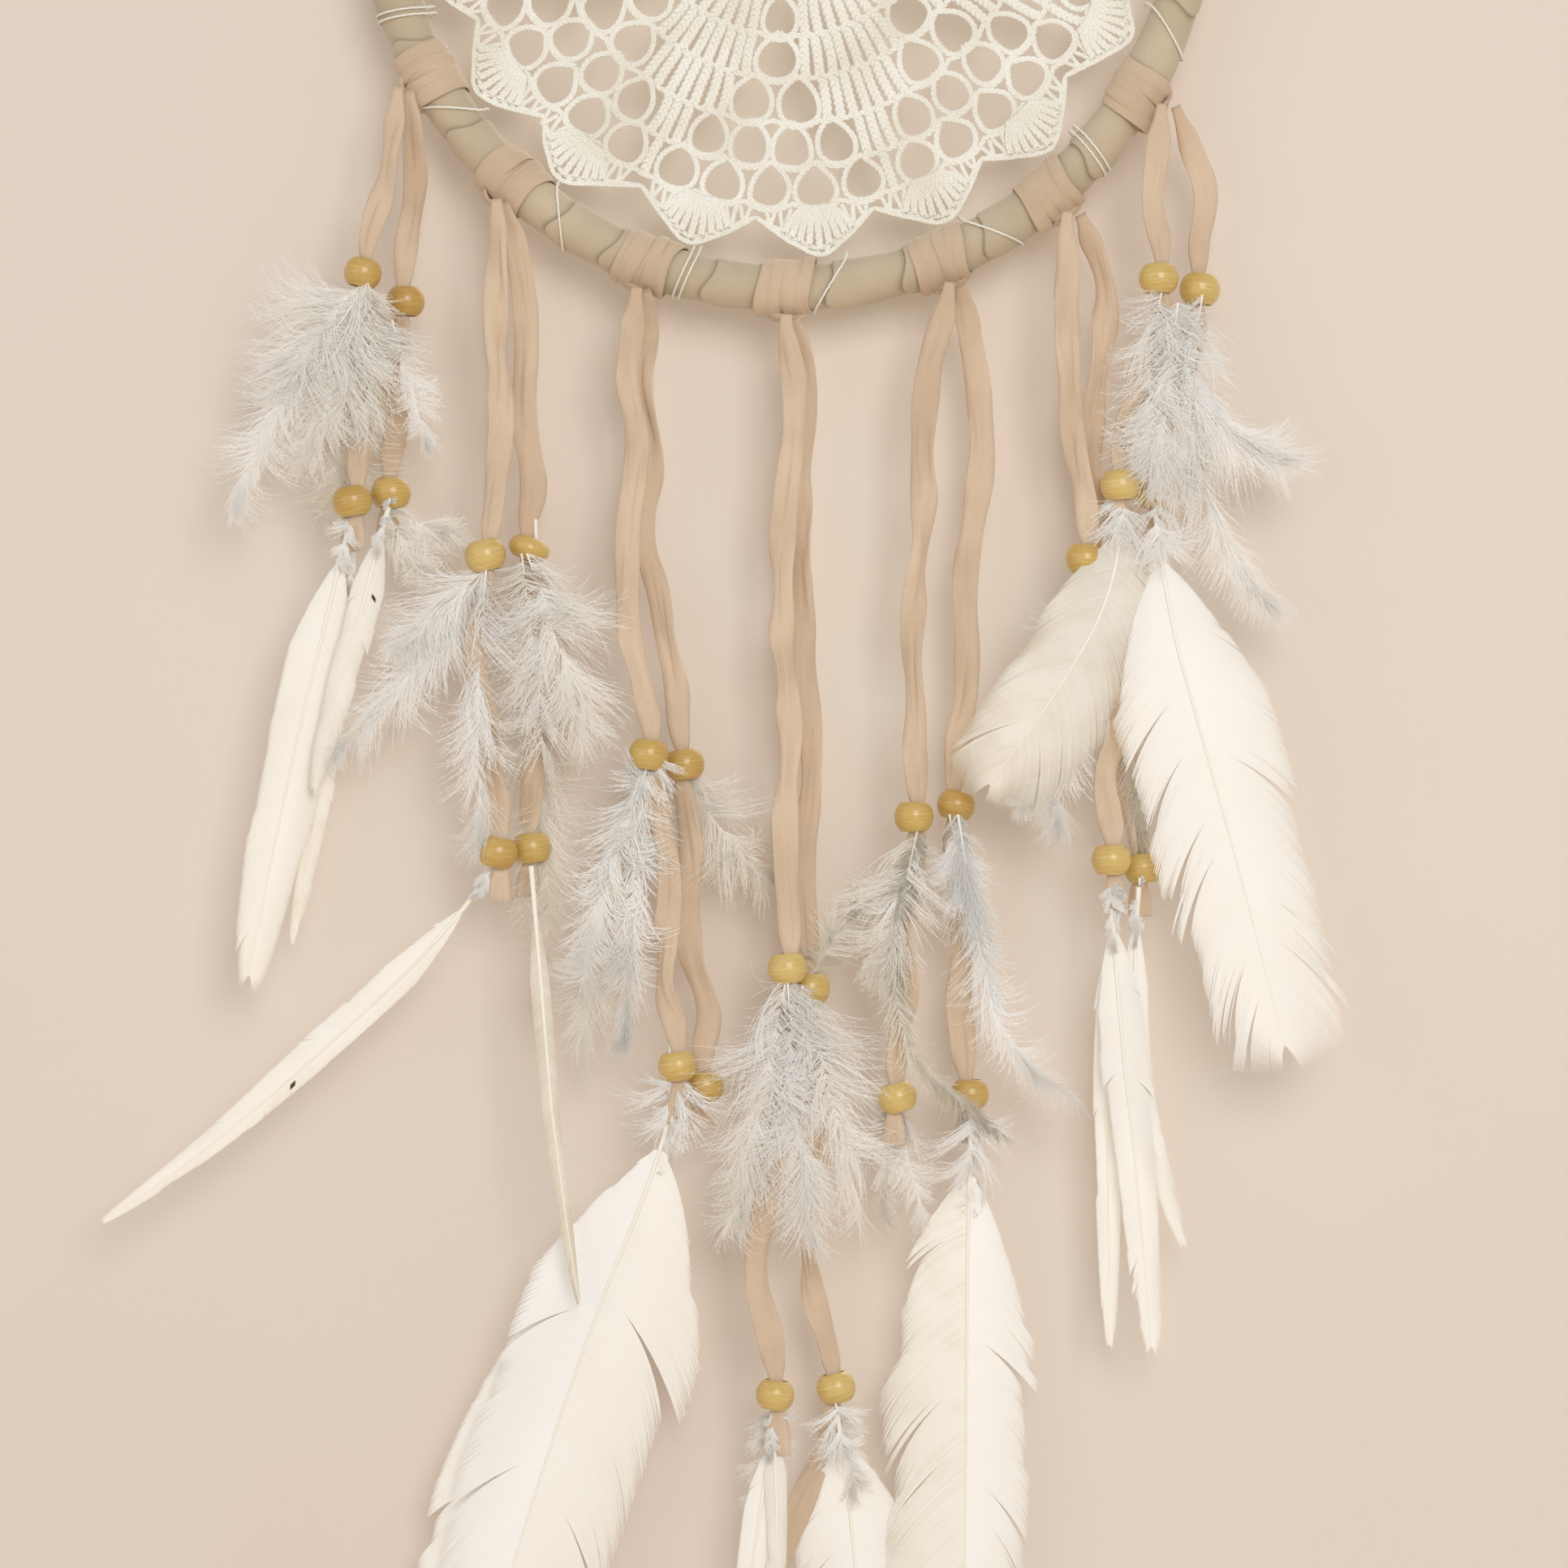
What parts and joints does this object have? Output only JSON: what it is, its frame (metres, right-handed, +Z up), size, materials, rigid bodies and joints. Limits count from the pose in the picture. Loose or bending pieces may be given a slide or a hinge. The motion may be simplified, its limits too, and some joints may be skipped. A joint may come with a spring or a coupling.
{
  "type": "dream catcher",
  "caption": "Wrapped hoop with a crochet web, hung from a loop, with beaded fabric strands that end in feathers and swing from their knots.",
  "frame": {"origin": "where the hanging loop rests on its nail", "axes": "+Z up along the strands, -Y towards the viewer, +X to the viewer's right"},
  "size_m": [0.301, 0.0191, 0.6653],
  "materials": {
    "strip": "matt brushed jersey",
    "wrap": "matt brushed jersey",
    "cotton": "twisted cotton yarn",
    "rattan": "raw",
    "bead": "lacquered, golden olive",
    "feather": "soft down and vanes"
  },
  "bodies": {
    "hanging_loop": {"hanging_loop": "strip"},
    "top_knot": {"top_knot": "strip"},
    "hoop": {"hoop_core": "rattan", "hoop_wrap": "wrap", "web": "cotton", "web_ties": "cotton", "knot_1": "strip", "knot_2": "strip", "knot_3": "strip", "knot_4": "strip", "knot_5": "strip", "knot_6": "strip", "knot_7": "strip"},
    "strand_1": {"strand_1_strips": "strip", "strand_1_beads": "bead", "strand_1_feathers": "feather"},
    "tail_1": {"tail_1_strips": "strip", "tail_1_beads": "bead", "tail_1_feathers": "feather"},
    "strand_2": {"strand_2_strips": "strip", "strand_2_beads": "bead", "strand_2_feathers": "feather"},
    "tail_2": {"tail_2_strips": "strip", "tail_2_beads": "bead", "tail_2_feathers": "feather"},
    "strand_3": {"strand_3_strips": "strip", "strand_3_beads": "bead", "strand_3_feathers": "feather"},
    "tail_3": {"tail_3_strips": "strip", "tail_3_beads": "bead", "tail_3_feathers": "feather"},
    "strand_4": {"strand_4_strips": "strip", "strand_4_beads": "bead", "strand_4_feathers": "feather"},
    "tail_4": {"tail_4_strips": "strip", "tail_4_beads": "bead", "tail_4_feathers": "feather"},
    "strand_5": {"strand_5_strips": "strip", "strand_5_beads": "bead", "strand_5_feathers": "feather"},
    "tail_5": {"tail_5_strips": "strip", "tail_5_beads": "bead", "tail_5_feathers": "feather"},
    "strand_6": {"strand_6_strips": "strip", "strand_6_beads": "bead", "strand_6_feathers": "feather"},
    "tail_6": {"tail_6_strips": "strip", "tail_6_beads": "bead", "tail_6_feathers": "feather"},
    "strand_7": {"strand_7_strips": "strip", "strand_7_beads": "bead", "strand_7_feathers": "feather"},
    "tail_7": {"tail_7_strips": "strip", "tail_7_beads": "bead", "tail_7_feathers": "feather"}
  },
  "joints": [
    {"name": "hoop_twist", "type": "hinge", "parent": "hanging_loop", "child": "top_knot", "pos_m": [0, 0, -0.086], "axis": [0, 0, 1], "range_deg": [-45, 45]},
    {"name": "hoop_tilt", "type": "hinge", "parent": "top_knot", "child": "hoop", "pos_m": [0, 0, -0.0988], "axis": [-1, 0, 0], "range_deg": [0, 30]},
    {"name": "strand_1_swing", "type": "hinge", "parent": "hoop", "child": "strand_1", "pos_m": [0, -0.0048, -0.26405], "axis": [-1, 0, 0], "range_deg": [0, 30]},
    {"name": "tail_1_swing", "type": "hinge", "parent": "strand_1", "child": "tail_1", "pos_m": [0, -0.0048, -0.3096], "axis": [-1, 0, 0], "range_deg": [0, 35]},
    {"name": "strand_2_swing", "type": "hinge", "parent": "hoop", "child": "strand_2", "pos_m": [0, -0.0043, -0.28967], "axis": [-1, 0, 0], "range_deg": [0, 30]},
    {"name": "tail_2_swing", "type": "hinge", "parent": "strand_2", "child": "tail_2", "pos_m": [0, -0.0043, -0.3724], "axis": [-1, 0, 0], "range_deg": [0, 35]},
    {"name": "strand_3_swing", "type": "hinge", "parent": "hoop", "child": "strand_3", "pos_m": [0, -0.0038, -0.3067], "axis": [-1, 0, 0], "range_deg": [0, 30]},
    {"name": "tail_3_swing", "type": "hinge", "parent": "strand_3", "child": "tail_3", "pos_m": [0, -0.0038, -0.4236], "axis": [-1, 0, 0], "range_deg": [0, 35]},
    {"name": "strand_4_swing", "type": "hinge", "parent": "hoop", "child": "strand_4", "pos_m": [0, -0.0033, -0.3118], "axis": [-1, 0, 0], "range_deg": [0, 30]},
    {"name": "tail_4_swing", "type": "hinge", "parent": "strand_4", "child": "tail_4", "pos_m": [0, -0.0033, -0.4788], "axis": [-1, 0, 0], "range_deg": [0, 35]},
    {"name": "strand_5_swing", "type": "hinge", "parent": "hoop", "child": "strand_5", "pos_m": [0, -0.0038, -0.3049], "axis": [-1, 0, 0], "range_deg": [0, 30]},
    {"name": "tail_5_swing", "type": "hinge", "parent": "strand_5", "child": "tail_5", "pos_m": [0, -0.0038, -0.4364], "axis": [-1, 0, 0], "range_deg": [0, 35]},
    {"name": "strand_6_swing", "type": "hinge", "parent": "hoop", "child": "strand_6", "pos_m": [0, -0.0043, -0.28907], "axis": [-1, 0, 0], "range_deg": [0, 30]},
    {"name": "tail_6_swing", "type": "hinge", "parent": "strand_6", "child": "tail_6", "pos_m": [0, -0.0043, -0.3732], "axis": [-1, 0, 0], "range_deg": [0, 35]},
    {"name": "strand_7_swing", "type": "hinge", "parent": "hoop", "child": "strand_7", "pos_m": [0, -0.0048, -0.26545], "axis": [-1, 0, 0], "range_deg": [0, 30]},
    {"name": "tail_7_swing", "type": "hinge", "parent": "strand_7", "child": "tail_7", "pos_m": [0, -0.0048, -0.3066], "axis": [-1, 0, 0], "range_deg": [0, 35]}
  ]
}
